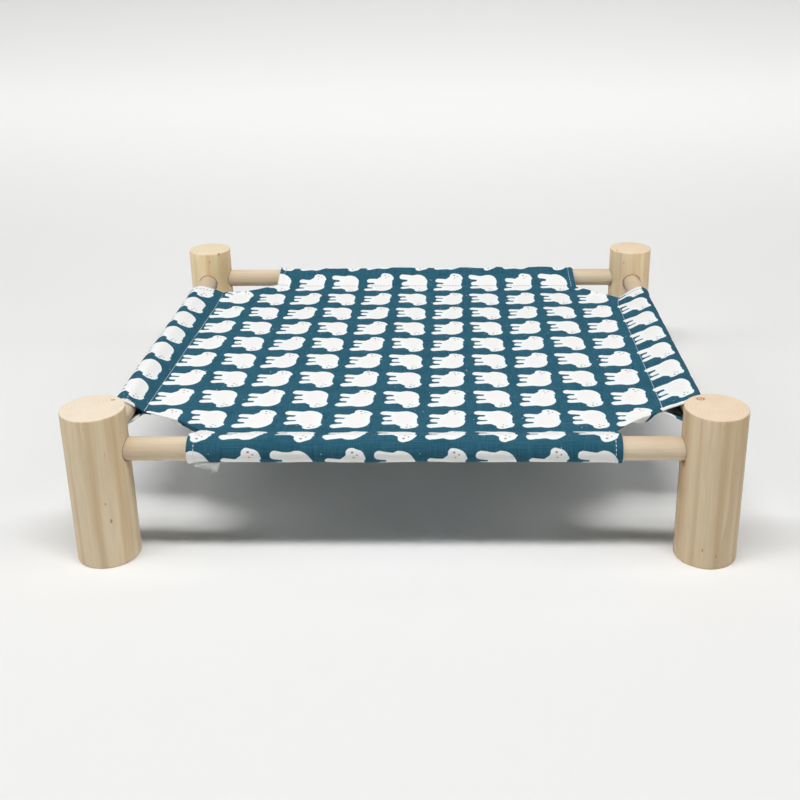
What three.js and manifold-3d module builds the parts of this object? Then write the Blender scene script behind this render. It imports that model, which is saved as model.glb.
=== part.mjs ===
// Low pet hammock bed: four round posts, four dowel rails in blind holes, and a cloth
// sling whose four edges are folded under and sewn into sleeves around the rails.
// Millimetres, +Z up. X runs along the front, the front edge is at -Y, and the origin
// is the centre of the bed's footprint on the floor.

import * as THREE from 'three';
import { mergeVertices } from 'three/addons/utils/BufferGeometryUtils.js';
import Module from 'manifold-3d';

const wasm = await Module();
wasm.setup();

// Posts
const postHeight = 130;
const frontPostRadius = 25;
const backPostRadius = 23;
const rimEase = 1;
const postFacets = 72;

// Rails and the blind holes that hold them
const railSpacingX = 485;
const railSpacingY = 426;
const railRadius = 9.5;
const railHeight = 94.5;
const railEndChamfer = 0.8;
const railFacets = 40;
const holeFloor = 11;
const touchGap = 0.3;

// Sling
const clothThickness = 1.2;
const sleeveRadius = railRadius + touchGap;
const sleeveFacets = 20;

// The footprint is centred on the origin although the back posts are thinner.
const frontY = -(railSpacingY + backPostRadius - frontPostRadius) / 2;
const backY = frontY + railSpacingY;
const sideX = railSpacingX / 2;

const posts = [
  { name: 'post_front_left', x: -sideX, y: frontY, radius: frontPostRadius },
  { name: 'post_front_right', x: sideX, y: frontY, radius: frontPostRadius },
  { name: 'post_back_left', x: -sideX, y: backY, radius: backPostRadius },
  { name: 'post_back_right', x: sideX, y: backY, radius: backPostRadius },
];

// Each side has its own frame: local +X runs along the rail and local +Y points inwards.
// seamInset is the sleeve seam's distance from the rail's axis, and bareStart and bareEnd
// are the lengths between a post's axis and the sleeve at the local -X and +X ends.
const sides = [
  { name: 'front', x: 0, y: frontY, turn: 0, span: railSpacingX,
    seamInset: 29, bareStart: 77.5, bareEnd: 72.5 },
  { name: 'right', x: sideX, y: (frontY + backY) / 2, turn: Math.PI / 2, span: railSpacingY,
    seamInset: 25, bareStart: 65, bareEnd: 70 },
  { name: 'back', x: 0, y: backY, turn: Math.PI, span: railSpacingX,
    seamInset: 29, bareStart: 66.5, bareEnd: 78.5 },
  { name: 'left', x: -sideX, y: (frontY + backY) / 2, turn: -Math.PI / 2, span: railSpacingY,
    seamInset: 21, bareStart: 69, bareEnd: 64 },
];

const postWood = { color: 0xe3cba6, roughness: 0.62, metalness: 0 };
const railWood = { color: 0xd9b994, roughness: 0.58, metalness: 0 };
const slingCloth = { color: 0x1b5872, roughness: 0.92, metalness: 0 };

function toManifold(geometry) {
  const plain = geometry.index ? geometry.toNonIndexed() : geometry.clone();
  plain.deleteAttribute('normal');
  plain.deleteAttribute('uv');
  const merged = mergeVertices(plain, 1e-4);
  return new wasm.Manifold(new wasm.Mesh({
    numProp: 3,
    vertProperties: Float32Array.from(merged.attributes.position.array),
    triVerts: Uint32Array.from(merged.index.array),
  }));
}

function fromManifold(solid) {
  const mesh = solid.getMesh();
  const geometry = new THREE.BufferGeometry();
  geometry.setAttribute('position', new THREE.BufferAttribute(mesh.vertProperties, 3));
  geometry.setIndex(new THREE.BufferAttribute(mesh.triVerts, 1));
  geometry.computeVertexNormals();
  return geometry;
}

function namedMesh(name, geometry, look) {
  const mesh = new THREE.Mesh(geometry, new THREE.MeshStandardMaterial(look));
  mesh.name = name;
  return mesh;
}

// A turned cylinder with its two rims eased, standing on z = 0.
function turnedStick(radius, length, ease, facets) {
  const profile = [
    new THREE.Vector2(0, 0),
    new THREE.Vector2(radius - ease, 0),
    new THREE.Vector2(radius, ease),
    new THREE.Vector2(radius, length - ease),
    new THREE.Vector2(radius - ease, length),
    new THREE.Vector2(0, length),
  ];
  return new THREE.LatheGeometry(profile, facets).rotateX(Math.PI / 2);
}

// The drill that makes one blind hole: it enters the post's side in the direction of
// turn about Z and stops short of the post's axis, so the two holes never meet.
function drill(radius, turn) {
  const reach = 2 * radius - holeFloor;
  return new THREE.CylinderGeometry(sleeveRadius, sleeveRadius, reach, railFacets)
    .rotateZ(Math.PI / 2)
    .translate(holeFloor + reach / 2, 0, railHeight)
    .rotateZ(turn);
}

function makePost({ name, x, y, radius }) {
  const towardsCentreX = x < 0 ? 0 : Math.PI;
  const towardsCentreY = y < 0 ? Math.PI / 2 : -Math.PI / 2;
  const drilled = toManifold(turnedStick(radius, postHeight, rimEase, postFacets))
    .subtract(toManifold(drill(radius, towardsCentreX)))
    .subtract(toManifold(drill(radius, towardsCentreY)));
  const post = namedMesh(name, fromManifold(drilled), postWood);
  post.position.set(x, y, 0);
  return post;
}

function makeRail({ name, span }) {
  const length = span - 2 * (holeFloor + touchGap);
  const stick = turnedStick(railRadius, length, railEndChamfer, railFacets);
  const rail = namedMesh(`rail_${name}`, stick, railWood);
  rail.rotation.y = Math.PI / 2;
  rail.position.x = -length / 2;
  return rail;
}

// A drop-shaped outline around a rail at the origin: round on the far side, with two
// straight tangents that meet at the seam.
function traceDrop(path, radius, tangentAngle) {
  path.moveTo(radius / Math.cos(tangentAngle), 0);
  path.lineTo(radius * Math.cos(tangentAngle), radius * Math.sin(tangentAngle));
  path.absarc(0, 0, radius, tangentAngle, 2 * Math.PI - tangentAngle, false);
  path.closePath();
  return path;
}

function makeSleeve({ name, span, seamInset, bareStart, bareEnd }) {
  const outerRadius = sleeveRadius + clothThickness;
  const tangentAngle = Math.acos(outerRadius / seamInset);
  const section = traceDrop(new THREE.Shape(), outerRadius, tangentAngle);
  section.holes.push(traceDrop(new THREE.Path(), sleeveRadius, tangentAngle));
  const tube = new THREE.ExtrudeGeometry(section, {
    depth: span - bareStart - bareEnd,
    bevelEnabled: false,
    curveSegments: sleeveFacets,
  });
  const inward = new THREE.Vector3(0, 1, 0);
  const up = new THREE.Vector3(0, 0, 1);
  const along = new THREE.Vector3(1, 0, 0);
  tube.applyMatrix4(new THREE.Matrix4().makeBasis(inward, up, along));
  const sleeve = namedMesh(`sleeve_${name}`, tube, slingCloth);
  sleeve.position.x = bareStart - span / 2;
  return sleeve;
}

function makeSide(side) {
  const group = new THREE.Group();
  group.position.set(side.x, side.y, railHeight);
  group.rotation.z = side.turn;
  group.add(makeRail(side));
  group.add(makeSleeve(side));
  group.updateMatrixWorld();
  return group;
}

// The taut middle of the sling reaches the four seams and is cut off at each corner,
// from the end of one sleeve's seam to the start of the next.
function makePanel() {
  const outline = new THREE.Shape();
  sides.forEach((side, index) => {
    const edge = side.seamInset + touchGap;
    const start = new THREE.Vector2(side.bareStart - side.span / 2, edge);
    const end = new THREE.Vector2(side.span / 2 - side.bareEnd, edge);
    [start, end].forEach((point, isEnd) => {
      point.rotateAround(new THREE.Vector2(), side.turn);
      point.add(new THREE.Vector2(side.x, side.y));
      if (index === 0 && isEnd === 0) outline.moveTo(point.x, point.y);
      else outline.lineTo(point.x, point.y);
    });
  });
  outline.closePath();
  const plate = new THREE.ExtrudeGeometry(outline, { depth: clothThickness, bevelEnabled: false });
  const panel = namedMesh('sling_panel', plate, slingCloth);
  panel.position.z = railHeight - clothThickness / 2;
  return panel;
}

const bed = new THREE.Group();
posts.forEach((post) => bed.add(makePost(post)));
sides.forEach((side) => bed.add(makeSide(side)));
bed.add(makePanel());

export default bed;
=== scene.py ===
import math

import bmesh
import bpy
from mathutils import Matrix, Vector, noise


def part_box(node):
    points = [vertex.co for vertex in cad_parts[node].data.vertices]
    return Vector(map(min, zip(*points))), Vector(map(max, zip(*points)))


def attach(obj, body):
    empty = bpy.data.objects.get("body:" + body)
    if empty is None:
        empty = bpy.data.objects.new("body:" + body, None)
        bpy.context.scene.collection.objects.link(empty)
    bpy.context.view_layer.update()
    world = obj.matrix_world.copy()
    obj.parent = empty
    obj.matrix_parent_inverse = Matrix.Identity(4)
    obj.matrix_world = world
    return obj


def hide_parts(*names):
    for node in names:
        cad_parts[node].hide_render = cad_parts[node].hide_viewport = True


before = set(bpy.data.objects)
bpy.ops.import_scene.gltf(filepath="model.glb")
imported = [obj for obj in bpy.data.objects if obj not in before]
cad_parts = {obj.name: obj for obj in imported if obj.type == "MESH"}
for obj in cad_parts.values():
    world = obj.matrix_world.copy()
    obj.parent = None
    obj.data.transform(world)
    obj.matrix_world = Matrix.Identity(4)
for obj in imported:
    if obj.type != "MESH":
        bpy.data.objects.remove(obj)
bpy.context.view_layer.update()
mm = 0.001
print("frame loaded")


# Helpers

# One output socket of a material, so that sums on it add Math nodes.
class Wire:
    def __init__(self, maker, socket):
        self.maker = maker
        self.socket = socket

    def math(self, operation, *others, clamp=False):
        return self.maker.math(operation, self, *others, clamp=clamp)

    def __add__(self, other):
        return self.math("ADD", other)

    def __radd__(self, other):
        return self.math("ADD", other)

    def __sub__(self, other):
        return self.math("SUBTRACT", other)

    def __rsub__(self, other):
        return self.maker.math("SUBTRACT", other, self)

    def __mul__(self, other):
        return self.math("MULTIPLY", other)

    def __rmul__(self, other):
        return self.math("MULTIPLY", other)

    def __truediv__(self, other):
        return self.math("DIVIDE", other)

    def __pow__(self, other):
        return self.math("POWER", other)

    def step(self, low, high):
        # 0 below low, 1 above high; the other way round when low is the larger
        if low > high:
            return 1 - self.step(high, low)
        return self.maker.node(
            "ShaderNodeMapRange",
            {"interpolation_type": "SMOOTHSTEP"},
            {"Value": self, "From Min": low, "From Max": high},
        )


class Maker:
    def __init__(self, name):
        self.material = bpy.data.materials.new(name)
        self.material.use_nodes = True
        self.tree = self.material.node_tree
        self.tree.nodes.clear()

    def node(self, kind, settings=None, sockets=None, out=0):
        made = self.tree.nodes.new(kind)
        for key, value in (settings or {}).items():
            setattr(made, key, value)
        for key, value in (sockets or {}).items():
            if isinstance(value, Wire):
                self.tree.links.new(value.socket, made.inputs[key])
            else:
                made.inputs[key].default_value = value
        return Wire(self, made.outputs[out]) if made.outputs else made

    def math(self, operation, *values, clamp=False):
        settings = {"operation": operation, "use_clamp": clamp}
        return self.node("ShaderNodeMath", settings, dict(enumerate(values)))

    def mix(self, factor, first, second):
        sockets = {0: factor, 6: first, 7: second}
        return self.node("ShaderNodeMix", {"data_type": "RGBA"}, sockets, out=2)

    def split(self, vector):
        made = self.node("ShaderNodeSeparateXYZ", None, {0: vector}).socket.node
        return [Wire(self, socket) for socket in made.outputs]

    def join(self, x, y, z):
        return self.node("ShaderNodeCombineXYZ", None, {0: x, 1: y, 2: z})

    def noise(self, vector, scale, detail=2.0, roughness=0.5):
        sockets = {"Vector": vector, "Scale": scale, "Detail": detail, "Roughness": roughness}
        return self.node("ShaderNodeTexNoise", None, sockets)

    def finish(self, colour, roughness, height=None, depth=0.0003, strength=0.5, shine=0.35):
        sockets = {"Base Color": colour, "Roughness": roughness}
        if height is not None:
            bumpSockets = {"Strength": strength, "Distance": depth, "Height": height}
            sockets["Normal"] = self.node("ShaderNodeBump", None, bumpSockets)
        shader = self.node("ShaderNodeBsdfPrincipled", None, sockets)
        surface = shader.socket.node
        surface.inputs["Specular IOR Level"].default_value = shine
        self.node("ShaderNodeOutputMaterial", None, {"Surface": shader})
        return self.material


def colour(red, green, blue):
    # a colour given as it looks on a screen, 0 to 255
    def linear(level):
        share = level / 255
        return share / 12.92 if share <= 0.04045 else ((share + 0.055) / 1.055) ** 2.4

    return (linear(red), linear(green), linear(blue), 1.0)


def newObject(name, data):
    made = bpy.data.objects.new(name, data)
    bpy.context.scene.collection.objects.link(made)
    return made


def newPiece(name, mesh, materials):
    piece = newObject(name, mesh)
    mesh.materials.clear()
    for material in materials:
        mesh.materials.append(material)
    mesh.shade_smooth()
    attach(piece, "root")
    return piece


def meshFrom(bm, name):
    mesh = bpy.data.meshes.new(name)
    bm.to_mesh(mesh)
    bm.free()
    return mesh


def middle(node):
    low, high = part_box(node)
    return (low + high) / 2


# Camera, floor, light

cameraSet = {
    "place": (0.0396, -0.9609, 0.4851),
    "yaw": -0.01404,
    "pitch": 0.34218,
    "roll": -0.00708,
    "focal": 47.87,
    "shift": (-0.05, -0.125),
}


def makeCamera(look):
    data = bpy.data.cameras.new("camera")
    data.sensor_width = 36
    data.lens = look["focal"]
    data.shift_x, data.shift_y = look["shift"]
    data.clip_start, data.clip_end = 0.01, 50
    yaw, pitch, roll = look["yaw"], look["pitch"], look["roll"]
    ahead = Vector((
        math.sin(yaw) * math.cos(pitch),
        math.cos(yaw) * math.cos(pitch),
        -math.sin(pitch),
    ))
    level = Vector((math.cos(yaw), -math.sin(yaw), 0))
    above = level.cross(ahead)
    right = level * math.cos(roll) + above * math.sin(roll)
    top = above * math.cos(roll) - level * math.sin(roll)
    turn = Matrix((right, top, -ahead)).transposed()
    camera = newObject("camera", data)
    camera.matrix_world = Matrix.Translation(look["place"]) @ turn.to_4x4()
    bpy.context.scene.camera = camera


studioSet = {
    "floor": colour(241, 241, 240),
    "floorRoughness": 0.9,
    "front": -4.0,
    "back": 2.2,
    "halfWidth": 4.5,
    "wall": 3.0,
    "bend": 1.2,
    "bendSteps": 12,
    "worldStrength": 0.03,
    "lamps": [
        {"name": "key", "place": (-0.05, -0.70, 2.0), "aim": (0, 0, 0.05),
         "size": (2.0, 0.22), "power": 36.0, "spread": 180},
        {"name": "behind", "place": (0, 2.6, 2.2), "aim": (0, 2.6, 0),
         "size": (8.0, 3.4), "power": 66.0, "spread": 80},
        {"name": "ahead", "place": (0, -3.1, 2.2), "aim": (0, -3.1, 0),
         "size": (8.0, 2.6), "power": 50.0, "spread": 56},
        {"name": "left", "place": (-1.6, -0.45, 1.4), "aim": (0, 0, 0.08),
         "size": (0.8, 0.8), "power": 7.5, "spread": 180},
        {"name": "right", "place": (1.6, -0.45, 1.4), "aim": (0, 0, 0.08),
         "size": (0.8, 0.8), "power": 6.5, "spread": 180},
    ],
}


# the floor runs on in a bend up to the wall behind
def makeFloor(look):
    bm = bmesh.new()
    start = bm.verts.new((-look["halfWidth"], look["front"], 0))
    end = bm.verts.new((look["halfWidth"], look["front"], 0))
    edges = [bm.edges.new((start, end))]
    floorRun = look["back"] - look["front"]

    def pull(edges, offset):
        made = bmesh.ops.extrude_edge_only(bm, edges=edges)["geom"]
        moved = [item for item in made if isinstance(item, bmesh.types.BMVert)]
        bmesh.ops.translate(bm, verts=moved, vec=offset)
        return [item for item in made if isinstance(item, bmesh.types.BMEdge)
                and all(vert in moved for vert in item.verts)]

    edges = pull(edges, Vector((0, floorRun, 0)))
    bendTurn = math.pi / 2 / look["bendSteps"]
    for step in range(look["bendSteps"]):
        angle = (step + 0.5) * bendTurn
        run = look["bend"] * bendTurn
        edges = pull(edges, Vector((0, math.cos(angle) * run, math.sin(angle) * run)))
    pull(edges, Vector((0, 0, look["wall"])))
    bmesh.ops.recalc_face_normals(bm, faces=bm.faces[:])
    floor = newObject("floor", meshFrom(bm, "floor"))
    floor.data.shade_smooth()
    floor.data.materials.append(Maker("floor").finish(look["floor"], look["floorRoughness"]))


def makeLight(look):
    world = bpy.data.worlds.new("studio")
    world.use_nodes = True
    background = world.node_tree.nodes["Background"]
    background.inputs["Color"].default_value = (1, 1, 1, 1)
    background.inputs["Strength"].default_value = look["worldStrength"]
    bpy.context.scene.world = world

    for item in look["lamps"]:
        lamp = bpy.data.lights.new(item["name"], "AREA")
        lamp.shape = "RECTANGLE"
        lamp.size, lamp.size_y = item["size"]
        lamp.energy = item["power"]
        lamp.spread = math.radians(item["spread"])
        holder = newObject(item["name"], lamp)
        holder.location = item["place"]
        aim = Vector(item["aim"]) - holder.location
        holder.rotation_euler = aim.to_track_quat("-Z", "Y").to_euler()
        holder.visible_camera = False
    bpy.context.scene.view_settings.view_transform = "Standard"


makeCamera(cameraSet)
makeFloor(studioSet)
makeLight(studioSet)
print("camera, floor and light")


# Wood

woodSet = {
    "light": colour(237, 219, 187),
    "dark": colour(212, 184, 140),
    "late": colour(201, 168, 122),
    "end": colour(240, 226, 206),
    "endLate": colour(226, 199, 163),
    "fleck": colour(170, 140, 102),
    "knot": colour(152, 88, 42),
    "knotHeart": colour(222, 160, 106),
    "hole": colour(138, 98, 60),
    "ringPitch": 3.1,
    "wobble": 5.0,
    "ringSharpness": 2.5,
    "bandShare": 0.75,
    "ringShare": 0.45,
    "fibreShare": 0.30,
    "fleckShare": 0.45,
    "poreShare": 0.22,
    "haloShare": 0.4,
    "heartShare": 0.75,
    "knotShare": 0.9,
    "markAndShadeShare": 0.65,
    "holeShare": 0.7,
    # patterns: the frequency across the grain, and the share of it along the grain
    "ripplePattern": (0.05, 0.12),
    "fadePattern": (0.11, 0.05),
    "bandPattern": (0.085, 0.03),
    "fibrePattern": (1.3, 0.025),
    "fleckPattern": (0.5, 0.22),
    "poreFrequency": 2.2,
    "relief": 0.25 * mm,
}

dowelSet = {
    **woodSet,
    "light": colour(229, 212, 186),
    "dark": colour(210, 186, 154),
    "late": colour(199, 170, 136),
    "end": colour(226, 200, 168),
    "endLate": colour(206, 172, 136),
    "ringPitch": 2.2,
    "wobble": 3.0,
    "bandShare": 0.5,
    "ringShare": 0.25,
    "fibreShare": 0.35,
}


# Bare wood on a stick. centre is a point on the stick's axis; x and y run across the
# grain and z along it, in millimetres from there. Knots and dark marks are (x, y, z,
# size); a dark mark that sits in a chip is painted shade. A hole is the axis and the
# sign of its way out, its height and its radius.
def woodLook(name, look, centre, order, pith, knots=(), marksAndChipShade=(), holes=()):
    maker = Maker(name)
    place = maker.node("ShaderNodeTexCoord", out="Object")
    shifted = maker.node(
        "ShaderNodeVectorMath", {"operation": "SUBTRACT"}, {0: place, 1: tuple(centre)})
    scaled = maker.node(
        "ShaderNodeVectorMath", {"operation": "SCALE"}, {0: shifted, "Scale": 1 / mm})
    axes = dict(zip("xyz", maker.split(scaled)))
    x, y, z = (axes[letter] for letter in order)

    def grain(pattern, detail, roughness=0.5):
        frequency, stretch = look[pattern]
        return maker.noise(maker.join(x, y, z * stretch), frequency, detail, roughness)

    ripple = grain("ripplePattern", 1.0)
    fromPith = maker.math("SQRT", (x - pith[0]) ** 2 + (y - pith[1]) ** 2)
    ringPlace = (fromPith + (ripple - 0.5) * look["wobble"]) / look["ringPitch"]
    ring = maker.math("FRACT", ringPlace) ** look["ringSharpness"]
    ringFade = grain("fadePattern", 1.0).step(0.35, 0.7)
    band = grain("bandPattern", 2.0).step(0.42, 0.64)
    fibre = grain("fibrePattern", 3.0, 0.6)
    fibreDark = fibre.step(0.42, 0.72)
    fleck = grain("fleckPattern", 1.0).step(0.76, 0.80)

    normal = maker.node("ShaderNodeNewGeometry", out="Normal")
    facing = dict(zip("xyz", maker.split(normal)))[order[2]]
    endGrain = maker.math("ABSOLUTE", facing).step(0.6, 0.9)

    sideTone = maker.mix(band * look["bandShare"], look["light"], look["dark"])
    sideTone = maker.mix(ring * ringFade * look["ringShare"], sideTone, look["late"])
    sideTone = maker.mix(fibreDark * look["fibreShare"], sideTone, look["late"])
    sideTone = maker.mix(fleck * look["fleckShare"], sideTone, look["fleck"])
    pores = maker.noise(scaled, look["poreFrequency"], 2.0, 0.7).step(0.5, 0.75)
    endTone = maker.mix(ring * (ringFade * 0.5 + 0.1), look["end"], look["endLate"])
    endTone = maker.mix(pores * look["poreShare"], endTone, look["endLate"])
    tone = maker.mix(endGrain, sideTone, endTone)

    for knotX, knotY, knotZ, size in knots:
        # a flattened oval with a ragged edge: a faint halo, a dark rim and a pale heart
        far = maker.math(
            "SQRT",
            (x - knotX) ** 2 + (y - knotY) ** 2 * 1.7 + ((z - knotZ) * 0.8) ** 2)
        far = far + (fibre - 0.5) * size * 0.35
        halo = far.step(size * 1.9, size * 0.7)
        core = far.step(size * 0.75, size * 0.45)
        rimOfKnot = far.step(size * 1.1, size * 0.9) * far.step(size * 0.6, size * 0.85)
        tone = maker.mix(halo * look["haloShare"], tone, look["late"])
        tone = maker.mix(core * look["heartShare"], tone, look["knotHeart"])
        tone = maker.mix(rimOfKnot * look["knotShare"], tone, look["knot"])

    for markX, markY, markZ, size in marksAndChipShade:
        # a small dark mark, drawn out along the grain; one that sits in a chip is painted shade
        # in the chip's hollow
        far = maker.math(
            "SQRT",
            (x - markX) ** 2 + (y - markY) ** 2 + ((z - markZ) * 0.45) ** 2)
        tone = maker.mix(far.step(size, size * 0.4) * look["markAndShadeShare"], tone, look["hole"])

    for letter, sign, height, radius in holes:
        # torn, darker fibres round the mouth of a drilled hole
        beside = axes["y" if letter == "x" else "x"]
        outwards = (axes[letter] * sign).step(2.0, 6.0)
        far = maker.math("SQRT", beside ** 2 + (axes["z"] - height) ** 2)
        far = far + (fibre - 0.5) * 0.9
        torn = outwards * far.step(radius + 0.9, radius + 0.2)
        tone = maker.mix(torn * look["holeShare"], tone, look["hole"])

    rough = 0.5 + fibre * 0.25
    relief = fibre * 0.6 + ring * 0.4 - fleck * 0.8
    return maker.finish(tone, rough, relief, depth=look["relief"], strength=0.35)


postSet = {
    "sides": 128,
    "rimSegments": 4,
    "rimEase": 1.1 * mm,
    "holeRadius": 9.9 * mm,
    "holeFloor": 11.2 * mm,
    "holeSides": 64,
    "levels": 4,
    "chipRoughness": 0.3,
    "chipGrain": 900,
}
sharpAngle = math.radians(40)

# Each post's wood: tone overrides for woodSet, the pith, knots, marks and chips. The back
# posts' paler tones are partly their own wood and partly painted light.
postLooks = {
    "front_left": {
        "wood": {},
        "pith": (-3.0, 9.0), "knots": [(12.1, 14.4, 130, 1.6)],
        "marksAndChipShade": [(12.0, -21.9, 42, 1.2), (9.5, -23.0, 58, 0.7), (24.0, 6.0, 112, 0.9)],
        "chips": []},
    "front_right": {
        "wood": {
            "light": colour(229, 209, 176), "dark": colour(203, 175, 133),
            "end": colour(237, 216, 190), "endLate": colour(221, 188, 150)},
        "pith": (4.0, -6.0), "knots": [(-9.4, 15.1, 130, 3.3)],
        # the first mark here is painted shade in the chip beside the rail's hole
        "marksAndChipShade": [(-23.8, -7.6, 85.4, 2.0), (-8, -23.8, 17, 0.9), (3, -24.9, 12, 0.7)],
        "chips": [(-24.4, -6.8, 86.0, 2.7), (-23.9, -9.6, 87.8, 1.5)]},
    "back_left": {
        # paler than the front posts: partly the wood's own tone, partly painted light from
        # behind
        "wood": {
            "light": colour(253, 234, 192), "dark": colour(240, 210, 160),
            "late": colour(224, 190, 138),
            "end": colour(243, 227, 196), "endLate": colour(228, 200, 156)},
        "pith": (-6.0, -4.0), "knots": [],
        # the first mark here is painted shade in the chip on the rim
        "marksAndChipShade": [(14.0, -18.0, 130, 1.7), (4.0, -22.6, 121, 0.8)],
        "chips": [(14.6, -18.6, 130.6, 1.7)]},
    "back_right": {
        # paler than the front posts: partly the wood's own tone, partly painted light from
        # behind
        "wood": {
            "light": colour(252, 231, 194), "dark": colour(238, 208, 162),
            "late": colour(222, 188, 142),
            "end": colour(242, 222, 192), "endLate": colour(227, 196, 154)},
        "pith": (7.0, 8.0), "knots": [(-17.0, -11.0, 130, 1.5)],
        "marksAndChipShade": [(-10.0, -20.5, 118, 0.7)],
        "chips": []},
}


def stick(bm, radius, length, sides, ease, easeSegments):
    # a round stick standing on z = 0, with its two rims eased
    bmesh.ops.create_cone(
        bm, cap_ends=True, segments=sides, radius1=radius, radius2=radius, depth=length)
    bmesh.ops.translate(bm, verts=bm.verts[:], vec=(0, 0, length / 2))
    rims = [edge for edge in bm.edges if abs(edge.verts[0].co.z - edge.verts[1].co.z) < 1e-6]
    bmesh.ops.bevel(
        bm, geom=rims, offset=ease, segments=easeSegments, profile=0.5,
        affect="EDGES", material=-1)


def cutHoles(piece, cutters):
    for cutter in cutters:
        cut = piece.modifiers.new("cut", "BOOLEAN")
        cut.operation = "DIFFERENCE"
        cut.solver = "EXACT"
        cut.object = cutter
    bpy.context.view_layer.update()
    done = piece.evaluated_get(bpy.context.evaluated_depsgraph_get())
    mesh = bpy.data.meshes.new_from_object(done)
    piece.modifiers.clear()
    piece.data = mesh
    for cutter in cutters:
        bpy.data.objects.remove(cutter)


# drills from just beyond the post's axis outwards, turned about Y or X
def holeCutter(look, about, sign, reach, place):
    bm = bmesh.new()
    bmesh.ops.create_cone(
        bm, cap_ends=True, segments=look["holeSides"], radius1=look["holeRadius"],
        radius2=look["holeRadius"], depth=reach)
    bmesh.ops.translate(bm, verts=bm.verts[:], vec=(0, 0, look["holeFloor"] + reach / 2))
    turn = Matrix.Rotation(math.pi / 2 * sign, 4, about)
    bmesh.ops.transform(bm, verts=bm.verts[:], matrix=turn)
    bmesh.ops.translate(bm, verts=bm.verts[:], vec=place)
    return newObject("hole", meshFrom(bm, "hole"))


def chipCutter(look, size, place):
    bm = bmesh.new()
    bmesh.ops.create_icosphere(bm, subdivisions=2, radius=size)
    for vert in bm.verts:
        vert.co *= 1 + look["chipRoughness"] * noise.noise(vert.co * look["chipGrain"])
    bmesh.ops.translate(bm, verts=bm.verts[:], vec=place)
    return newObject("chip", meshFrom(bm, "chip"))


def makePost(corner, look):
    node = "post_" + corner
    low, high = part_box(node)
    centre = Vector(((low.x + high.x) / 2, (low.y + high.y) / 2, low.z))
    radius = (high.x - low.x) / 2
    railHeight = middle("rail_front").z
    signX = 1 if centre.x < 0 else -1
    signY = 1 if centre.y < 0 else -1

    bm = bmesh.new()
    stick(bm, radius, high.z - low.z, look["sides"], look["rimEase"], look["rimSegments"])
    bmesh.ops.translate(bm, verts=bm.verts[:], vec=centre)
    for level in range(1, look["levels"]):
        bmesh.ops.bisect_plane(
            bm, geom=bm.verts[:] + bm.edges[:] + bm.faces[:], dist=1e-6,
            plane_co=(0, 0, low.z + level / look["levels"] * (high.z - low.z)),
            plane_no=(0, 0, 1))
    post = newObject(node + "_wood", meshFrom(bm, node + "_wood"))

    details = postLooks[corner]
    drillPlace = centre + Vector((0, 0, railHeight - low.z))
    cutters = [
        holeCutter(look, about, sign, 2 * radius, drillPlace)
        for about, sign in (("Y", signX), ("X", -signY))]
    cutters += [
        chipCutter(look, size * mm, centre + Vector(chipPlace) * mm)
        for *chipPlace, size in details["chips"]]
    cutHoles(post, cutters)

    holeTop, holeRadius = railHeight / mm, look["holeRadius"] / mm
    material = woodLook(
        "postWood_" + corner, {**woodSet, **details["wood"]}, centre, "xyz",
        details["pith"], details["knots"], details["marksAndChipShade"],
        [("x", signX, holeTop, holeRadius), ("y", signY, holeTop, holeRadius)])
    mesh = post.data
    mesh.materials.clear()
    mesh.materials.append(material)
    mesh.shade_smooth()
    mesh.set_sharp_from_angle(angle=sharpAngle)
    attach(post, "root")
    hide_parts(node)


railSet = {"sides": 96, "ease": 0.9 * mm, "easeSegments": 3}

# Each rail's axes, two across the grain and one along it, and its pith.
railLooks = {
    "front": ("yzx", (14, -9)),
    "back": ("yzx", (-12, 8)),
    "left": ("xzy", (9, 14)),
    "right": ("xzy", (-11, -13)),
}


def makeRail(side, look):
    node = "rail_" + side
    order, pith = railLooks[side]
    low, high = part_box(node)
    centre = (low + high) / 2
    length = max(high - low)
    alongX = order[2] == "x"
    bm = bmesh.new()
    stick(bm, (high.z - low.z) / 2, length, look["sides"], look["ease"], look["easeSegments"])
    bmesh.ops.translate(bm, verts=bm.verts[:], vec=(0, 0, -length / 2))
    turn = Matrix.Rotation(math.pi / 2, 4, "Y" if alongX else "X")
    bmesh.ops.transform(bm, verts=bm.verts[:], matrix=turn)
    bmesh.ops.translate(bm, verts=bm.verts[:], vec=centre)
    material = woodLook("dowelWood_" + side, dowelSet, centre, order, pith)
    rail = newPiece(node + "_wood", meshFrom(bm, node + "_wood"), [material])
    rail.data.set_sharp_from_angle(angle=sharpAngle)
    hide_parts(node)


for corner in postLooks:
    makePost(corner, postSet)
for side in railLooks:
    makeRail(side, railSet)
print("posts and rails")


# The sling's shape

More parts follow.
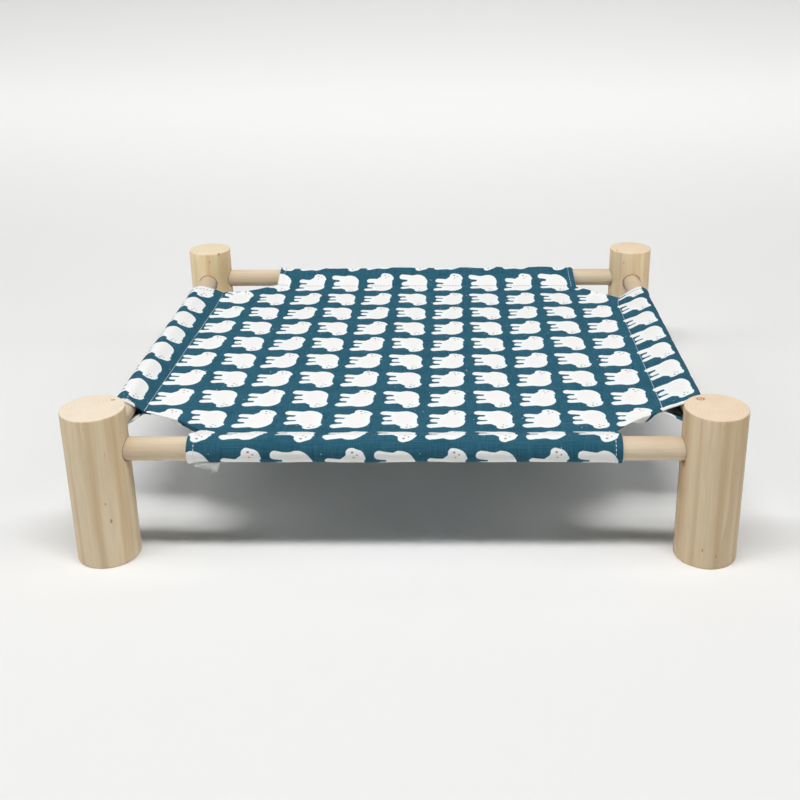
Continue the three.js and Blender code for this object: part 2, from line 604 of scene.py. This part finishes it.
clothSet = {
    "thickness": 0.7 * mm,
    "clear": 0.35 * mm,
    "flare": 1.3 * mm,
    "flareRun": 14 * mm,
    "tuck": 9 * mm,
    "panelCells": (116, 98),
    "sleeveCells": 46,
    "gap": 1.6 * mm,
    # the panel: how deep it sags, and waves and puckers as (height, frequency, seed)
    "sag": 3.0 * mm,
    "wave": (0.6 * mm, 14, 0.7),
    "pucker": (0.8 * mm, 75, 5.2),
    "puckerReach": (16 * mm, 4 * mm),
    # the sleeves: ripples as (share, frequency, seed), and puckers beside the seam
    "ripples": [(1.0, 24, 3.1), (0.4, 70, 8.4)],
    "rippleBias": 0.3,
    "seamPucker": (0.6 * mm, 45),
    # the hems, and how far and how unevenly a loose one hangs
    "hemWidth": 6 * mm,
    "droop": 5.5 * mm,
    "crumpleFrequency": 130,
    "hangFrequency": 60,
    # each cut corner: how far its edge is drawn in, how much of that the print goes
    # along with, and how far the edge curls up
    "cuts": {"front_left": (7 * mm, 0.3, 0.0), "front_right": (5 * mm, 1.0, 0.0),
             "back_left": (5.5 * mm, 0.8, 3.6 * mm), "back_right": (8 * mm, 0.35, 3.2 * mm)},
    "drawReach": 28 * mm,
    "curlReach": 5 * mm,
    # the stretch of a corner's hem that hangs loose, and 1 where its reverse shows
    "looseHem": {"front_left": (0.0, 0.75, 1), "front_right": (0.45, 1.0, 0)},
    "looseRamps": (0.1, 0.2),
    # how loose each sleeve is on its rail
    "loose": {"front": 0.6 * mm, "back": 2.4 * mm, "left": 0.7 * mm, "right": 0.7 * mm},
    # the left seam isn't parallel to its rail: offset at the middle, and slope
    "lean": {"left": (-0.2 * mm, 0.0256)},
    "leanReach": 190 * mm,
    # where the cloth is drawn aside at a sleeve's end: edge, end, offset, reach
    "tugs": [
        ("left", 0, (0.0, 6 * mm, -0.6 * mm), 13 * mm),
        ("right", 0, (0.0, 6 * mm, -0.6 * mm), 13 * mm),
        ("left", 1, (0.5 * mm, 9 * mm, 2.6 * mm), 19 * mm),
        ("right", 1, (3.0 * mm, -2 * mm, 0.0), 15 * mm),
        ("back", 0, (-0.5 * mm, 1 * mm, 1.2 * mm), 16 * mm),
        ("back", 1, (1.5 * mm, -4 * mm, 0.0), 14 * mm),
        ("front", 0, (1.0 * mm, 2 * mm, 0.5 * mm), 12 * mm),
    ],
}
cornerReach = 0.1  # every cut corner lies further from both middle lines than this
tugLimit = 6  # reaches squared, past which a tug is too small to matter


# One edge of the sling: its seam, its rail and its sleeve's two ends. side is -1 or 1,
# the way out from the bed's middle along axis 0 (X) or 1 (Y), and past is a point's
# distance beyond the seam on the flat cloth, round the rail and back.
class Edge:
    def __init__(self, name, axis, side):
        self.name = name
        self.axis = axis
        self.side = side
        rail = middle("rail_" + name)
        panelLow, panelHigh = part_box("sling_panel")
        sleeveLow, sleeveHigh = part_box("sleeve_" + name)
        self.rail = rail[axis]
        self.height = rail.z
        self.seam = panelHigh[axis] if side > 0 else panelLow[axis]
        self.ends = (sleeveLow[1 - axis], sleeveHigh[1 - axis])
        self.reach = abs(self.rail - self.seam)
        low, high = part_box("rail_" + name)
        self.radius = (high.z - low.z) / 2 + clothSet["clear"] + clothSet["thickness"]
        self.length = self.around(self.radius)

    # the loop's length from the seam, round the rail and back to the seam
    def around(self, radius):
        tangent = math.acos(radius / self.reach)
        straight = math.sqrt(self.reach ** 2 - radius ** 2)
        return 2 * straight + 2 * (math.pi - tangent) * radius

    def past(self, flat):
        return (flat[self.axis] - self.seam) * self.side

    # the distance past the seam, where the loop's return also lies under the seam
    def nearSeam(self, flat):
        past = self.past(flat)
        return self.length - past if past > self.length / 2 else past

    def leaning(self, flat):
        offset, slope = clothSet["lean"].get(self.name, (0, 0))
        past = self.nearSeam(flat)
        reach = clothSet["leanReach"] if past < 0 else 0.85 * self.reach
        return (offset + slope * flat[1 - self.axis]) * max(0.0, 1 - abs(past) / reach)

    # where a point that is past the seam by this much lies, along from the middle
    def wrap(self, past, along):
        thickness = clothSet["thickness"]
        if past > self.length:
            under = Vector((along, along))
            under[self.axis] = self.seam - self.side * (past - self.length)
            return panelPlace(under) - Vector((0, 0, 2 * thickness + clothSet["gap"]))
        fromEnd = min(along - self.ends[0], self.ends[1] - along)
        flare = max(0.0, 1 - fromEnd / clothSet["flareRun"]) ** 2
        ripple = sum(
            share * noise.noise(Vector((along * frequency, self.rail * 20, seed)))
            for share, frequency, seed in clothSet["ripples"])
        slack = min(1.0, max(0.0, ripple + clothSet["rippleBias"]))
        radius = self.radius + clothSet["flare"] * flare
        radius += clothSet["loose"][self.name] * slack
        tangent = math.acos(radius / self.reach)
        straight = math.sqrt(self.reach ** 2 - radius ** 2)
        arc = 2 * (math.pi - tangent) * radius
        travel = past * (2 * straight + arc) / self.length
        if travel < straight:
            share = travel / straight
            inward = self.reach + (radius * math.cos(tangent) - self.reach) * share
            lift = radius * math.sin(tangent) * share
            pucker, frequency = clothSet["seamPucker"]
            lift += pucker * math.sin(share * math.pi) * (
                noise.noise(Vector((along * frequency, share * 2, self.rail * 9))))
        elif travel < straight + arc:
            angle = tangent + (travel - straight) / radius
            inward = radius * math.cos(angle)
            lift = radius * math.sin(angle)
        else:
            share = (travel - straight - arc) / straight
            inward = radius * math.cos(tangent) * (1 - share) + self.reach * share
            lift = -radius * math.sin(tangent) * (1 - share)
            lift -= (2 * thickness + clothSet["gap"]) * share
        place = Vector((along, along, self.height + lift))
        place[self.axis] = self.rail - self.side * inward
        return place


edges = [Edge("front", 1, -1), Edge("back", 1, 1), Edge("left", 0, -1), Edge("right", 0, 1)]
edgeAt = {edge.name: edge for edge in edges}


# A cut-off corner, from the end of one sleeve's seam to the end of the other's.
class Corner:
    def __init__(self, name):
        along, across = (edgeAt[part] for part in name.split("_"))
        which = 1 if across.side > 0 else 0
        other = 1 if along.side > 0 else 0
        self.start = Vector((along.ends[which], along.seam))
        self.end = Vector((across.seam, across.ends[other]))
        self.signs = (across.side, along.side)
        run = self.end - self.start
        self.span = run.length
        self.direction = run.normalized()
        self.outward = Vector((self.direction.y, -self.direction.x))
        if self.outward.dot(self.signs) < 0:
            self.outward = -self.outward
        self.pull, self.carry, self.rise = clothSet["cuts"][name]
        self.looseFrom, self.looseTo, self.pale = clothSet["looseHem"].get(name, (0, 0, 0))

    # a flat point's share of the way along the cut, and its depth inside the cut
    def locate(self, flat):
        beyond = flat - self.start
        return beyond.dot(self.direction) / self.span, -beyond.dot(self.outward)

    # moves a flat point towards the middle of the cloth, most at the middle of the cut
    def drawn(self, flat):
        beside, depth = self.locate(flat)
        if not 0 < beside < 1:
            return flat
        fade = math.exp(-(depth / clothSet["drawReach"]) ** 2)
        return flat - self.outward * (self.pull * math.sin(math.pi * beside) * fade)

    # how far the cloth curls up at a point that has been drawn in
    def curl(self, flat):
        beside, depth = self.locate(flat)
        if not 0 < beside < 1:
            return 0.0
        swell = math.sin(math.pi * beside)
        inside = max(0.0, depth - self.pull * swell)
        return self.rise * swell * math.exp(-inside / clothSet["curlReach"])

    # 1 where the hem of this corner has come loose, 0 elsewhere
    def looseness(self, flat):
        beside, depth = self.locate(flat)
        if abs(depth) > 0.5 * mm or not self.looseFrom < beside < self.looseTo:
            return 0.0
        rampIn, rampOut = clothSet["looseRamps"]
        return min(1.0, (beside - self.looseFrom) / rampIn, (self.looseTo - beside) / rampOut)


corners = [Corner(name) for name in clothSet["cuts"]]


# the taut middle of the cloth, between the four seams
def panelPlace(flat):
    low = Vector((edgeAt["left"].seam, edgeAt["front"].seam))
    high = Vector((edgeAt["right"].seam, edgeAt["back"].seam))
    shareX = (flat.x - low.x) / (high.x - low.x)
    shareY = (flat.y - low.y) / (high.y - low.y)
    # 1 at the middle and 0 at the seams
    hang = (16 * shareX * (1 - shareX) * shareY * (1 - shareY)) ** 0.7
    inset = min(flat.x - low.x, high.x - flat.x, flat.y - low.y, high.y - flat.y)
    reach, start = clothSet["puckerReach"]
    nearSeam = math.exp(-inset / reach) * min(1.0, inset / start)
    lift = -clothSet["sag"] * hang
    for share, (height, frequency, seed) in (
            (hang, clothSet["wave"]), (nearSeam, clothSet["pucker"])):
        bump = noise.noise(Vector((flat.x * frequency, flat.y * frequency, seed)))
        lift += height * share * bump
    return Vector((flat.x, flat.y, edges[0].height + lift))


tugs = [(edgeAt[name], end, Vector(move), reach) for name, end, move, reach in clothSet["tugs"]]


# where a point of the flat cloth, in metres from the bed's middle, ends up
def drape(flat):
    place = None
    for edge in edges:
        past = edge.past(flat)
        if past > 0:
            place = edge.wrap(past, flat[1 - edge.axis])
            break
    place = place or panelPlace(flat)
    place.z += sum(corner.curl(flat) for corner in corners)
    for edge in edges:
        place[edge.axis] += edge.leaning(flat)
    for edge, end, move, reach in tugs:
        beside = flat[1 - edge.axis] - edge.ends[end]
        far = (beside ** 2 + edge.nearSeam(flat) ** 2) / reach ** 2
        if far < tugLimit:
            place += move * math.exp(-far)
    return place


def drapeNormal(flat):
    step = 0.4 * mm
    ahead = drape(flat + Vector((step, 0))) - drape(flat - Vector((step, 0)))
    aside = drape(flat + Vector((0, step))) - drape(flat - Vector((0, step)))
    return ahead.cross(aside).normalized()


def gridPlace(share, knots, counts):
    # spreads an even grid so that each stretch between knots has its own cell size
    line = share * sum(counts)
    for low, high, count in zip(knots, knots[1:], counts):
        if line <= count + 1e-6:
            return low + (high - low) * line / count
        line -= count
    return knots[-1]


def cutCorner(bm, corner):
    def near():
        faces = [face for face in bm.faces
                 if all(face.calc_center_median()[i] * corner.signs[i] > cornerReach
                        for i in (0, 1))]
        around = dict.fromkeys(item for face in faces for item in (*face.verts, *face.edges))
        return [*around, *faces]

    cuts = [(corner.start, (1, 0)), (corner.end, (0, 1)), (corner.start, corner.outward)]
    for point, across in cuts:
        bmesh.ops.bisect_plane(
            bm, geom=near(), dist=1e-6, plane_co=(*point, 0), plane_no=(*across, 0))
    gone = []
    for face in bm.faces:
        flat = face.calc_center_median().xy
        if not all(flat[i] * corner.signs[i] > cornerReach for i in (0, 1)):
            continue
        pastX = (flat.x - corner.end.x) * corner.signs[0] > 0
        pastY = (flat.y - corner.start.y) * corner.signs[1] > 0
        beyondStart = (flat.x - corner.start.x) * corner.signs[0] > 0
        beyondEnd = (flat.y - corner.end.y) * corner.signs[1] > 0
        beyondCut = (flat - corner.start).dot(corner.outward) > 0
        if (pastY and beyondStart) or (pastX and beyondEnd) or (
                beyondCut and not pastX and not pastY):
            gone.append(face)
    bmesh.ops.delete(bm, geom=gone, context="FACES")


def flatCloth():
    cellsX, cellsY = clothSet["panelCells"]
    sleeve = clothSet["sleeveCells"]
    bm = bmesh.new()
    bmesh.ops.create_grid(
        bm, x_segments=cellsX + 2 * sleeve, y_segments=cellsY + 2 * sleeve, size=0.5)
    knotsX, knotsY = [], []
    for knots, first, last in ((knotsX, "left", "right"), (knotsY, "front", "back")):
        first, last = edgeAt[first], edgeAt[last]
        knots.append(first.seam - first.length - clothSet["tuck"])
        knots += [first.seam, last.seam]
        knots.append(last.seam + last.length + clothSet["tuck"])
    for vert in bm.verts:
        vert.co.x = gridPlace(vert.co.x + 0.5, knotsX, (sleeve, cellsX, sleeve))
        vert.co.y = gridPlace(vert.co.y + 0.5, knotsY, (sleeve, cellsY, sleeve))
    for corner in corners:
        cutCorner(bm, corner)
    bmesh.ops.remove_doubles(bm, verts=bm.verts[:], dist=0.02 * mm)
    return bm


# Folds the free edges under, as a hem. Each row is how far in it lies, how far down, and
# how far down it hangs where the hem has come loose. droopLayer is 1 on a loose edge, and
# paleLayer is 1 where such an edge turns its reverse outwards.
def foldHems(bm, flatLayer, droopLayer, paleLayer):
    thickness = clothSet["thickness"]
    width, droop = clothSet["hemWidth"], clothSet["droop"]
    rows = [(-0.5 * thickness, 0.6 * thickness, 0.1 * droop),
            (0, 1.6 * thickness, 0.3 * droop),
            (0.5 * width, 1.75 * thickness, 0.65 * droop),
            (width, 1.75 * thickness, droop)]
    rim = [edge for edge in bm.edges if edge.is_boundary]
    facing = {}
    for edge in rim:
        face = edge.link_faces[0]
        along = (edge.verts[1].co - edge.verts[0].co).normalized()
        inward = face.calc_center_median() - edge.verts[0].co
        inward = (inward - along * inward.dot(along)).normalized()
        flatAlong = (edge.verts[1][flatLayer] - edge.verts[0][flatLayer]).normalized()
        flatMiddle = sum((vert[flatLayer] for vert in face.verts), Vector()) / len(face.verts)
        flatInward = flatMiddle - edge.verts[0][flatLayer]
        flatInward = (flatInward - flatAlong * flatInward.dot(flatAlong)).normalized()
        for vert in edge.verts:
            sums = facing.setdefault(vert, [Vector(), Vector(), Vector()])
            sums[0] += inward
            sums[1] += face.normal
            sums[2] += flatInward
    start = {
        vert: (vert.co.copy(), vert[flatLayer].copy(), vert[droopLayer], vert[paleLayer])
        for vert in facing}
    source = {vert: vert for vert in facing}
    for inShare, downShare, hangShare in rows:
        made = bmesh.ops.extrude_edge_only(bm, edges=rim)["geom"]
        newVerts = [item for item in made if isinstance(item, bmesh.types.BMVert)]
        follow = {}
        for vert in newVerts:
            for edge in vert.link_edges:
                partner = edge.other_vert(vert)
                if partner in source:
                    follow[vert] = source[partner]
        for vert, first in follow.items():
            inward, down, flatInward = (item.normalized() for item in facing[first])
            place, flat, loose, pale = start[first]
            crumple = loose * hangShare * noise.noise(place * clothSet["crumpleFrequency"])
            uneven = 1 + 0.5 * noise.noise(place * clothSet["hangFrequency"])
            vert.co = place + inward * (inShare * (1 - 0.8 * loose) + 0.4 * crumple)
            vert.co -= down * (downShare * (1 - loose))
            vert.co.z -= loose * hangShare * uneven + 0.3 * crumple
            vert[flatLayer] = flat - flatInward * (downShare if inShare <= 0 else (
                inShare + 1.5 * thickness))
            vert[droopLayer], vert[paleLayer] = loose, pale
        for item in made:
            if isinstance(item, bmesh.types.BMFace):
                hanging = min(vert[droopLayer] for vert in item.verts) > 0.45
                item.material_index = 1 if hanging and item.verts[0][paleLayer] else 0
        source = follow
        rim = [item for item in made if isinstance(item, bmesh.types.BMEdge)
               and all(vert in follow for vert in item.verts)]


def clothArea():
    low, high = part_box("sling_panel")
    area = (high.x - low.x) * (high.y - low.y)
    for edge in edges:
        area += (edge.ends[1] - edge.ends[0]) * (edge.length + clothSet["tuck"])
    for corner in corners:
        area -= 0.5 * abs((corner.end.x - corner.start.x) * (corner.end.y - corner.start.y))
    return area


def makeSling(front, reverse):
    bm = flatCloth()
    flatLayer = bm.verts.layers.float_vector.new("flatPlace")
    droopLayer = bm.verts.layers.float.new("droop")
    paleLayer = bm.verts.layers.int.new("pale")
    for vert in bm.verts:
        flat = vert.co.xy
        printed = flat.copy()
        for corner in corners:
            loose = corner.looseness(flat)
            if loose > vert[droopLayer]:
                vert[droopLayer], vert[paleLayer] = loose, corner.pale
            moved = corner.drawn(flat)
            printed += (moved - flat) * (1 - corner.carry)
            flat = moved
        vert[flatLayer] = printed.to_3d()
        vert.co = drape(flat)
    bm.normal_update()
    foldHems(bm, flatLayer, droopLayer, paleLayer)
    uvLayer = bm.loops.layers.uv.new("clothFlat")
    for face in bm.faces:
        for loop in face.loops:
            loop[uvLayer].uv = loop.vert[flatLayer].xy
    mesh = meshFrom(bm, "sling_cloth")
    sling = newPiece("sling_cloth", mesh, [front, reverse])
    wall = sling.modifiers.new("thickness", "SOLIDIFY")
    wall.thickness = clothSet["thickness"]
    wall.offset = -1
    wall.material_offset = 1
    wall.use_even_offset = False
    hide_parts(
        "sling_panel", "sleeve_front", "sleeve_back", "sleeve_left", "sleeve_right")
    return sling


# The sling's cloth

printSet = {
    "ground": colour(55, 105, 125),
    "groundDark": colour(27, 77, 97),
    "ink": colour(243, 247, 246),
    "blush": colour(245, 238, 235),
    "face": colour(120, 108, 110),
    "raw": colour(184, 190, 191),
    "through": 0.35,
    "threadPitch": 1.1,
    "relief": 0.22 * mm,
    "firstColumn": -203.5,
    "columnPitch": 39.6,
    "firstRow": 142.8,
    "rowPitch": 43.0,
    # how far the outline wavers across and along, and how raggedly it is printed
    "waver": (1.6, 1.2),
    "ragged": 0.5,
    "lumpBlend": 2.5,
    "limbBlend": 1.4,
}

# The printed bear, feet towards -x and back towards +x, in millimetres. Lumps are
# (x, y, radius x, radius y), limbs are (x1, y1, x2, y2, radius) and the spots of its
# face are (x, y, radius).
bearLumps = [
    (3.0, -4.5, 11.4, 12.4),
    (4.6, 4.5, 9.6, 9.2),
    (7.6, 12.0, 7.0, 6.2),
    (4.6, 16.0, 3.8, 3.1),
    (13.2, 10.2, 2.2, 2.2),
]
bearLimbs = [
    (0.0, -11.0, -13.6, -13.0, 3.9),
    (-1.5, -2.4, -11.4, -2.0, 3.3),
    (0.5, 5.6, -12.4, 7.2, 3.2),
]
bearFace = [(9.2, 13.6, 0.75), (6.4, 11.2, 0.75), (5.6, 15.8, 1.05)]


def lumpField(maker, x, y, lump):
    centreX, centreY, radiusX, radiusY = lump
    across = (x - centreX) / radiusX
    along = (y - centreY) / radiusY
    far = maker.math("SQRT", across * across + along * along)
    return (far - 1) * min(radiusX, radiusY)


def limbField(maker, x, y, limb):
    x1, y1, x2, y2, radius = limb
    runX, runY = x2 - x1, y2 - y1
    square = runX ** 2 + runY ** 2
    share = ((x - x1) * (runX / square)).math("ADD", (y - y1) * (runY / square), clamp=True)
    offX = x - x1 - share * runX
    offY = y - y1 - share * runY
    return maker.math("SQRT", offX * offX + offY * offY) - radius


# returns the bear's mask, its face's mask and how deep inside the bear a point is
def bearPrint(maker, u, v, look):
    waver = maker.noise(maker.join(u, v, 0.0), 0.16, 1.0)
    column = maker.math("ROUND", (u - look["firstColumn"]) / look["columnPitch"])
    row = maker.math("ROUND", (v - look["firstRow"]) / look["rowPitch"])
    odd = maker.math("FLOORED_MODULO", column, 2.0)
    x = u - look["firstColumn"] - column * look["columnPitch"]
    y = (v - look["firstRow"] - row * look["rowPitch"]) * (1 - 2 * odd)
    x = x + (waver - 0.5) * look["waver"][0]
    y = y + (waver - 0.5) * look["waver"][1]
    fields = [lumpField(maker, x, y, lump) for lump in bearLumps]
    field = fields[0]
    for other in fields[1:]:
        field = maker.math("SMOOTH_MIN", field, other, look["lumpBlend"])
    for limb in bearLimbs:
        limbed = limbField(maker, x, y, limb)
        field = maker.math("SMOOTH_MIN", field, limbed, look["limbBlend"])
    rough = maker.noise(maker.join(u, v, 0.0), 1.6, 1.0) - 0.5
    mask = (field + rough * look["ragged"]).step(0.25, -0.25)
    spots = [lumpField(maker, x, y, (*spot, spot[2] * 0.8)) for spot in bearFace]
    features = spots[0]
    for other in spots[1:]:
        features = maker.math("MINIMUM", features, other)
    return mask, features.step(0.3, -0.2), field


def weave(maker, u, v, pitch):
    # plain weave: warp and weft threads pass over each other in turn
    across = maker.math("SINE", u * (2 * math.pi / pitch))
    along = maker.math("SINE", v * (2 * math.pi / pitch))
    return across * along * 0.5 + 0.5


def clothLook(name, look, reverse):
    maker = Maker(name)
    place = maker.node("ShaderNodeUVMap", {"uv_map": "clothFlat"})
    scaled = maker.node(
        "ShaderNodeVectorMath", {"operation": "SCALE"}, {0: place, "Scale": 1 / mm})
    u, v = maker.split(scaled)[:2]
    slubU = maker.noise(maker.join(u * 0.05, v * 1.4, 0.0), 1.0, 2.0)
    slubV = maker.noise(maker.join(u * 1.4, v * 0.05, 4.0), 1.0, 2.0)
    slub = (slubU + slubV) * 0.5
    blotch = maker.noise(maker.join(u, v, 9.0), 0.035, 2.0)
    threads = weave(maker, u, v, look["threadPitch"])
    mask, face, depth = bearPrint(maker, u, v, look)

    ground = maker.mix(slub.step(0.38, 0.62) * 0.7, look["ground"], look["groundDark"])
    ground = maker.mix(blotch.step(0.45, 0.75) * 0.35, ground, look["groundDark"])
    ground = maker.mix(threads * 0.2, ground, look["groundDark"])
    lint = maker.noise(maker.join(u, v, 31.0), 0.42, 0.0).step(0.845, 0.87)
    ground = maker.mix(lint * 0.8, ground, look["ink"])
    ink = maker.mix(depth.step(-1.0, -6.0) * 0.5, look["ink"], look["blush"])
    ink = maker.mix(slub.step(0.5, 0.72) * 0.25, ink, look["blush"])
    tone = maker.mix(mask, ground, ink)
    tone = maker.mix(face * 0.75, tone, look["face"])
    if reverse:
        # the raw back of the cloth, with the print showing faintly through it
        tone = maker.mix(look["through"], look["raw"], tone)
    relief = threads * 0.5 + slub * 0.9
    rough = 0.86 + slub * 0.1
    return maker.finish(tone, rough, relief, depth=look["relief"], strength=0.5, shine=0.12)


frontCloth = clothLook("printedCanvas", printSet, False)
backCloth = clothLook("canvasReverse", printSet, True)
sling = makeSling(frontCloth, backCloth)
print("sling, flat area", round(clothArea(), 4))


# Stitching

stitchSet = {
    "length": 2.9 * mm,
    "pitch": 3.3 * mm,
    "radius": 0.32 * mm,
    "endInset": 5.0 * mm,
    "seamInset": 0.8 * mm,
    "lineInset": 1 * mm,
    "lift": 0.08 * mm,
    "flatness": 0.75,
    "pale": colour(226, 232, 232),
    "teal": colour(58, 110, 132),
}


def threadLook(name, tone):
    maker = Maker(name)
    place = maker.node("ShaderNodeTexCoord", out="Object")
    twist = maker.noise(place, 1800.0, 2.0)
    shade = (*(0.6 * part for part in tone[:3]), 1)
    mixed = maker.mix(twist.step(0.4, 0.7) * 0.35, tone, shade)
    return maker.finish(mixed, 0.7 + twist * 0.15, twist, depth=0.1 * mm)


def sewLine(bm, points, look):
    # lays stitches along a path of flat points, pressed into the cloth
    run = 0.0
    for start, end in zip(points, points[1:]):
        span = (end - start).length
        direction = (end - start) / span
        while run + look["length"] / 2 < span:
            flat = start + direction * run
            first = drape(flat - direction * look["length"] / 2)
            last = drape(flat + direction * look["length"] / 2)
            along = (last - first).normalized()
            up = drapeNormal(flat)
            across = up.cross(along).normalized()
            centre = drape(flat) + up * look["lift"]
            turn = Matrix((across, up, along)).transposed().to_4x4()
            size = Matrix.Diagonal(
                (1, look["flatness"], look["length"] / 2 / look["radius"], 1))
            bmesh.ops.create_icosphere(
                bm, subdivisions=1, radius=look["radius"],
                matrix=Matrix.Translation(centre) @ turn @ size)
            run += look["pitch"]
        run -= span


def seamPath(edge, inset):
    # along an edge's seam, on the panel's side of it
    first, last = edge.ends
    points = []
    for along in (first + stitchSet["lineInset"], last - stitchSet["lineInset"]):
        flat = Vector((along, along))
        flat[edge.axis] = edge.seam - edge.side * inset
        points.append(flat)
    return points


def endPath(edge, end):
    # round the sleeve near one of its ends
    along = edge.ends[end] + (stitchSet["endInset"] if end == 0 else -stitchSet["endInset"])
    points = []
    for past in (stitchSet["lineInset"], edge.length - stitchSet["lineInset"]):
        flat = Vector((along, along))
        flat[edge.axis] = edge.seam + edge.side * past
        points.append(flat)
    return points


def makeStitching(name, paths, material):
    bm = bmesh.new()
    for points in paths:
        sewLine(bm, points, stitchSet)
    return newPiece(name, meshFrom(bm, name), [material])


paleThread = threadLook("paleThread", stitchSet["pale"])
tealThread = threadLook("tealThread", stitchSet["teal"])
palePaths = [seamPath(edgeAt[name], stitchSet["seamInset"]) for name in ("left", "right")]
palePaths += [endPath(edgeAt[name], end) for name in ("front", "back") for end in (0, 1)]
tealPaths = [seamPath(edgeAt[name], stitchSet["seamInset"]) for name in ("front", "back")]
tealPaths += [endPath(edgeAt[name], end) for name in ("left", "right") for end in (0, 1)]
stitching = [
    makeStitching("sling_stitching_pale", palePaths, paleThread),
    makeStitching("sling_stitching_teal", tealPaths, tealThread),
]
print("stitching")


# The frayed end

fraySet = {
    "length": 21 * mm,
    "drop": 8.5 * mm,
    "cells": (24, 8),
    "thickness": 0.5 * mm,
    "crumple": 1.8 * mm,
    "threads": 26,
    "threadRadius": 0.2 * mm,
    "threadReach": (2.0 * mm, 4.0 * mm),
    "threadSteps": 4,
    "threadSides": 5,
    # where it leaves the sleeve, forwards and down from the rail's axis in sleeve radii
    "leaves": (0.80, 0.76),
    "backward": 0.15,
    "tone": colour(232, 233, 230),
}


# how far the frayed edge hangs, at a share of the way along it
def frayDrop(look, across):
    shape = 0.35 + 0.65 * across if across < 0.85 else (1 - across) / 0.15
    return look["drop"] * shape * (0.85 + 0.4 * noise.noise(Vector((across * 7, 0.0, 2.2))))


# The raw edge that hangs out under the left end of the front sleeve.
def makeFray(look, material):
    edge = edgeAt["front"]
    forward, below = (share * edge.radius for share in look["leaves"])
    top = Vector((edge.ends[0], edge.rail - forward, edge.height - below))
    bm = bmesh.new()
    cellsX, cellsY = look["cells"]
    bmesh.ops.create_grid(bm, x_segments=cellsX, y_segments=cellsY, size=0.5)
    for vert in bm.verts:
        across, down = vert.co.x + 0.5, 0.5 - vert.co.y
        fold = look["crumple"] * noise.noise(Vector((across * 6, down * 1.4, 7.7)))
        drop = frayDrop(look, across) * down
        back = fold * down + look["backward"] * drop
        vert.co = top + Vector((across * look["length"], back, -drop))
    bmesh.ops.solidify(bm, geom=bm.faces[:], thickness=look["thickness"])
    for index in range(look["threads"]):
        across = ((index + 0.5) / look["threads"]) ** 0.6 * 0.93
        spot = Vector([noise.noise(Vector((index * 3.7, 1.3, seed))) for seed in (4.4, 11.7)])
        drop = 0.85 * frayDrop(look, across)
        back = spot.y * mm + look["backward"] * drop
        start = top + Vector((across * look["length"], back, -drop))
        shortest, spare = look["threadReach"]
        fall = Vector((0, 0, -shortest - spare * abs(spot.x) * across))
        bend = Vector((spot.x * 3.0, spot.y * 2.0, 0)) * mm
        steps = look["threadSteps"]
        runs = [step / steps for step in range(steps + 1)]
        points = [start + fall * run + bend * run * run for run in runs]
        for first, last in zip(points, points[1:]):
            turn = (last - first).to_track_quat("Z", "Y").to_matrix().to_4x4()
            bmesh.ops.create_cone(
                bm, cap_ends=True, segments=look["threadSides"], radius1=look["threadRadius"],
                radius2=look["threadRadius"], depth=(last - first).length,
                matrix=Matrix.Translation((first + last) / 2) @ turn)
    return newPiece("sling_fray", meshFrom(bm, "sling_fray"), [material])


rawCotton = threadLook("rawCotton", fraySet["tone"])
stitching.append(makeFray(fraySet, rawCotton))
print("frayed end")


clothArea()
